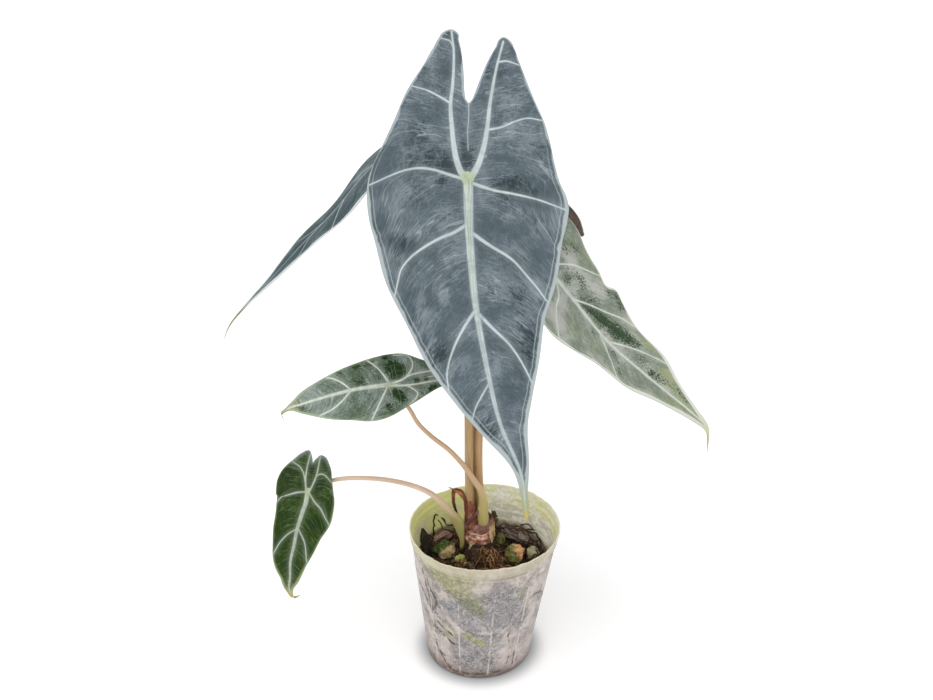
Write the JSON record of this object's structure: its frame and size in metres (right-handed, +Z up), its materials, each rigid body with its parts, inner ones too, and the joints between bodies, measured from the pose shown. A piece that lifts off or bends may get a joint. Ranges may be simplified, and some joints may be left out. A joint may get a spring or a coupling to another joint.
{
  "type": "potted alocasia watsoniana",
  "caption": "Young alocasia with arrow-shaped, pale-veined silvery leaves on upright stalks from a ringed corm, in bark mix in a thin tapered nursery pot.",
  "frame": {"origin": "centre of the pot's flat underside", "axes": "+Z up, the way the plant grows; -Y the front, where the largest leaf hangs; +X to the right seen from the front"},
  "size_m": [0.3624, 0.2147, 0.5068],
  "materials": {
    "pot": "soft translucent film, matt, with algae stains",
    "soil": "rough bark and coir mix",
    "corm": "ringed, fibrous, satin",
    "leaf": "glossy, with pale raised veins",
    "young_leaf": "glossy, with pale raised veins",
    "stem": "smooth, satin, fine long streaks",
    "sheath": "dry and papery",
    "bark": "rough and fibrous",
    "moss": "soft, tufted",
    "stone": "pitted, partly mossy"
  },
  "bodies": {
    "root": {"pot": "pot", "soil": "soil", "corm": "corm", "blade_front": "leaf", "blade_left": "leaf", "blade_right": "leaf", "blade_upper_small": "young_leaf", "blade_lower_small": "young_leaf", "petiole_front": "stem", "petiole_left": "stem", "petiole_right": "stem", "petiole_upper_small": "stem", "petiole_lower_small": "stem", "dry_sheath": "sheath", "bark_left": "bark", "bark_right": "bark", "leaf_scrap": "bark", "moss_ball": "moss", "moss_clump": "moss", "chip_green": "moss", "chip_pale": "moss", "stone_left": "stone", "stone_right": "stone", "stone_small": "stone"}
  },
  "joints": []
}
